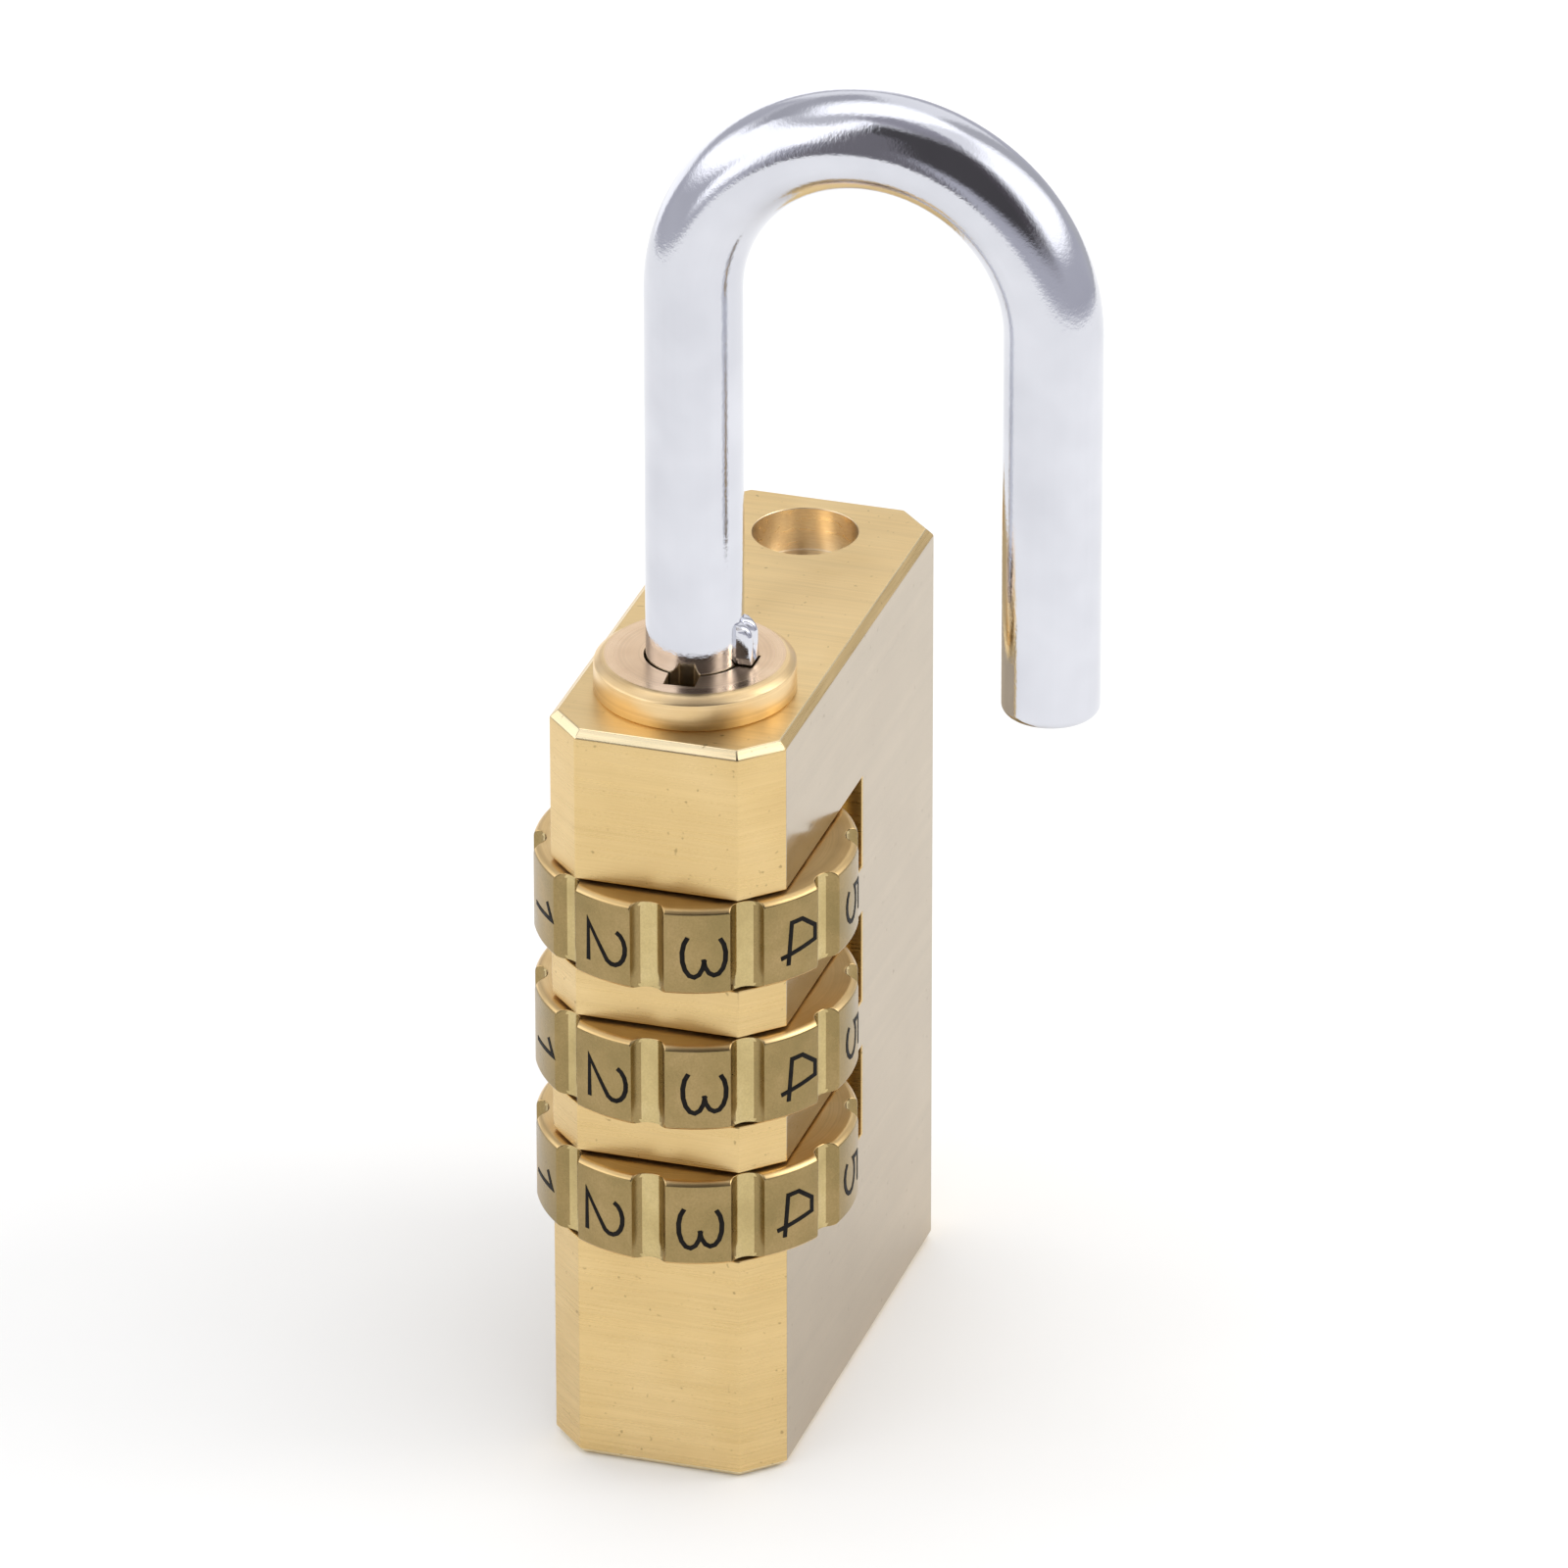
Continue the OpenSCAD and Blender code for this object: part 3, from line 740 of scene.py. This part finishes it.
def towards(azimuth, elevation):
    """Direction from the object to a viewer; azimuth 0 looks along +Y and 90 along -X."""
    level = math.cos(elevation)
    return Vector((math.sin(azimuth) * level, -math.cos(azimuth) * level, math.sin(elevation)))


def camera():
    data = bpy.data.cameras.new("camera")
    data.sensor_width = 36
    data.lens = CAMERA_LENS
    data.clip_start = 0.05
    data.clip_end = 20
    made = bpy.data.objects.new("camera", data)
    bpy.context.scene.collection.objects.link(made)
    back = towards(CAMERA_AZIMUTH, CAMERA_ELEVATION)
    right = (-back).cross(Vector((0, 0, 1))).normalized()
    up = right.cross(-back)
    c, s = math.cos(CAMERA_ROLL), math.sin(CAMERA_ROLL)
    right, up = right * c + up * s, up * c - right * s
    turn = Matrix((right, up, back)).transposed().to_4x4()
    made.matrix_world = Matrix.Translation(CAMERA_AIM + back * CAMERA_DISTANCE) @ turn
    bpy.context.scene.camera = made


def area_light(name, azimuth, elevation, distance, size, power, colour):
    """A round lamp that looks at the middle of the lock from this far in that direction."""
    data = bpy.data.lights.new(name, "AREA")
    data.shape = "DISK"
    data.size = size
    data.energy = power
    data.color = colour
    made = bpy.data.objects.new(name, data)
    bpy.context.scene.collection.objects.link(made)
    back = towards(math.radians(azimuth), math.radians(elevation))
    made.location = Vector((0, 0, 0.03)) + back * distance
    made.rotation_euler = (-back).to_track_quat("-Z", "Y").to_euler()


ROOM_TONE = (1.0, 1.0, 1.03)
BACKDROP_TONE = (0.99, 0.99, 0.99, 1)
EVEN_LIGHT = 1.16
WHITE = (1.55, 1.55, 1.6)
GREY = (0.56, 0.56, 0.61)
BLACK = (0.08, 0.075, 0.08)

# Patches of the room: azimuth, elevation, half width, half height and softness in degrees, then the tone
ROOM = (
    (0, 0, 181, 13, 4, (0.54, 0.54, 0.60)),
    (-155, -8, 32, 12, 3, GREY),
    (70, -12, 25, 9, 3, GREY),
    (130, -10, 26, 14, 4, (1.3, 1.3, 1.33)),
    (-150, 56, 42, 13, 5, (0.65, 0.65, 0.69)),
    (-156, 26, 42, 16, 6, WHITE),
    (-130, 8, 9, 14, 4, WHITE),
    (-121, 52, 7, 12, 3, WHITE),
    (16, 36, 34, 22, 8, WHITE),
    (68, 20, 11, 36, 4, (0.55, 0.55, 0.58)),
    (125, 78, 75, 22, 8, WHITE),
    (142, 42, 34, 11, 6, (0.50, 0.50, 0.54)),
    (140, 20, 15, 11, 5, GREY),
    (-80, 76, 62, 11, 6, (0.38, 0.37, 0.42)),
    (-58, 37, 31, 29, 12, (0.10, 0.09, 0.10)),
    (-78, 35, 33, 27, 5, BLACK),
    (-105, 12, 9, 28, 4, (0.20, 0.19, 0.21)),
)


def studio():
    """The camera sees an even backdrop, matt surfaces an even light, and the metal a room of soft patches."""
    world = bpy.data.worlds.new("studio")
    world.use_nodes = True
    bpy.context.scene.world = world
    tree = world.node_tree
    tree.nodes.clear()
    add = tree.nodes.new
    link = tree.links.new
    direction = add("ShaderNodeTexCoord").outputs["Generated"]

    def number(operation, first, second=None):
        made = add("ShaderNodeMath")
        made.operation = operation
        for socket, value in zip(made.inputs, (first, second)):
            if isinstance(value, (int, float)):
                socket.default_value = value
            elif value is not None:
                link(value, socket)
        return made.outputs[0]

    def fade(value, full, none):
        """1 up to full, falling smoothly to 0 at none."""
        made = add("ShaderNodeMapRange")
        made.interpolation_type = "SMOOTHSTEP"
        made.inputs["From Min"].default_value = full
        made.inputs["From Max"].default_value = none
        made.inputs["To Min"].default_value = 1
        made.inputs["To Max"].default_value = 0
        link(value, made.inputs["Value"])
        return made.outputs["Result"]

    apart = add("ShaderNodeSeparateXYZ")
    link(direction, apart.inputs[0])
    height = number("ARCSINE", apart.outputs["Z"])

    def panel(azimuth, elevation, half_width, half_height, soft):
        """1 over a patch of the room, in degrees, with soft edges."""
        turn = add("ShaderNodeVectorRotate")
        turn.rotation_type = "Z_AXIS"
        turn.inputs["Angle"].default_value = math.radians(-azimuth)
        link(direction, turn.inputs["Vector"])
        local = add("ShaderNodeSeparateXYZ")
        link(turn.outputs[0], local.inputs[0])
        back = number("MULTIPLY", local.outputs["Y"], -1.0)
        aside = number("ABSOLUTE", number("ARCTAN2", local.outputs["X"], back))
        above = number("ABSOLUTE", number("SUBTRACT", height, math.radians(elevation)))
        wide = fade(aside, math.radians(half_width - soft), math.radians(half_width + soft))
        high = fade(above, math.radians(half_height - soft), math.radians(half_height + soft))
        return number("MULTIPLY", wide, high)

    def blend(factor, under, colour):
        made = add("ShaderNodeMix")
        made.data_type = "RGBA"
        link(factor, made.inputs[0])
        if isinstance(under, tuple):
            made.inputs[6].default_value = (*under, 1)
        else:
            link(under, made.inputs[6])
        made.inputs[7].default_value = (*colour, 1)
        return made.outputs[2]

    room = ROOM_TONE
    for azimuth, elevation, half_width, half_height, soft, tone in ROOM:
        room = blend(panel(azimuth, elevation, half_width, half_height, soft), room, tone)
    seen = add("ShaderNodeBackground")
    seen.inputs["Color"].default_value = BACKDROP_TONE
    lit = add("ShaderNodeBackground")
    link(room, lit.inputs["Color"])
    even = add("ShaderNodeBackground")
    even.inputs["Color"].default_value = (1, 1, 1, 1)
    even.inputs["Strength"].default_value = EVEN_LIGHT
    path = add("ShaderNodeLightPath")

    def choose(ray, otherwise, chosen):
        made = add("ShaderNodeMixShader")
        link(path.outputs[ray], made.inputs[0])
        link(otherwise.outputs[0], made.inputs[1])
        link(chosen.outputs[0], made.inputs[2])
        return made

    light = choose("Is Camera Ray", choose("Is Diffuse Ray", lit, even), seen)
    link(light.outputs[0], add("ShaderNodeOutputWorld").inputs["Surface"])


bar_body()
collar_flange()
shackle_bow()
shackle_key()
dials()
dress_inner_pieces()
pale_floor()
camera()
studio()
area_light("key_light", 14, 38, 0.7, 0.35, 0.8, (1.0, 0.98, 0.95))
bpy.context.scene.view_settings.view_transform = "Standard"
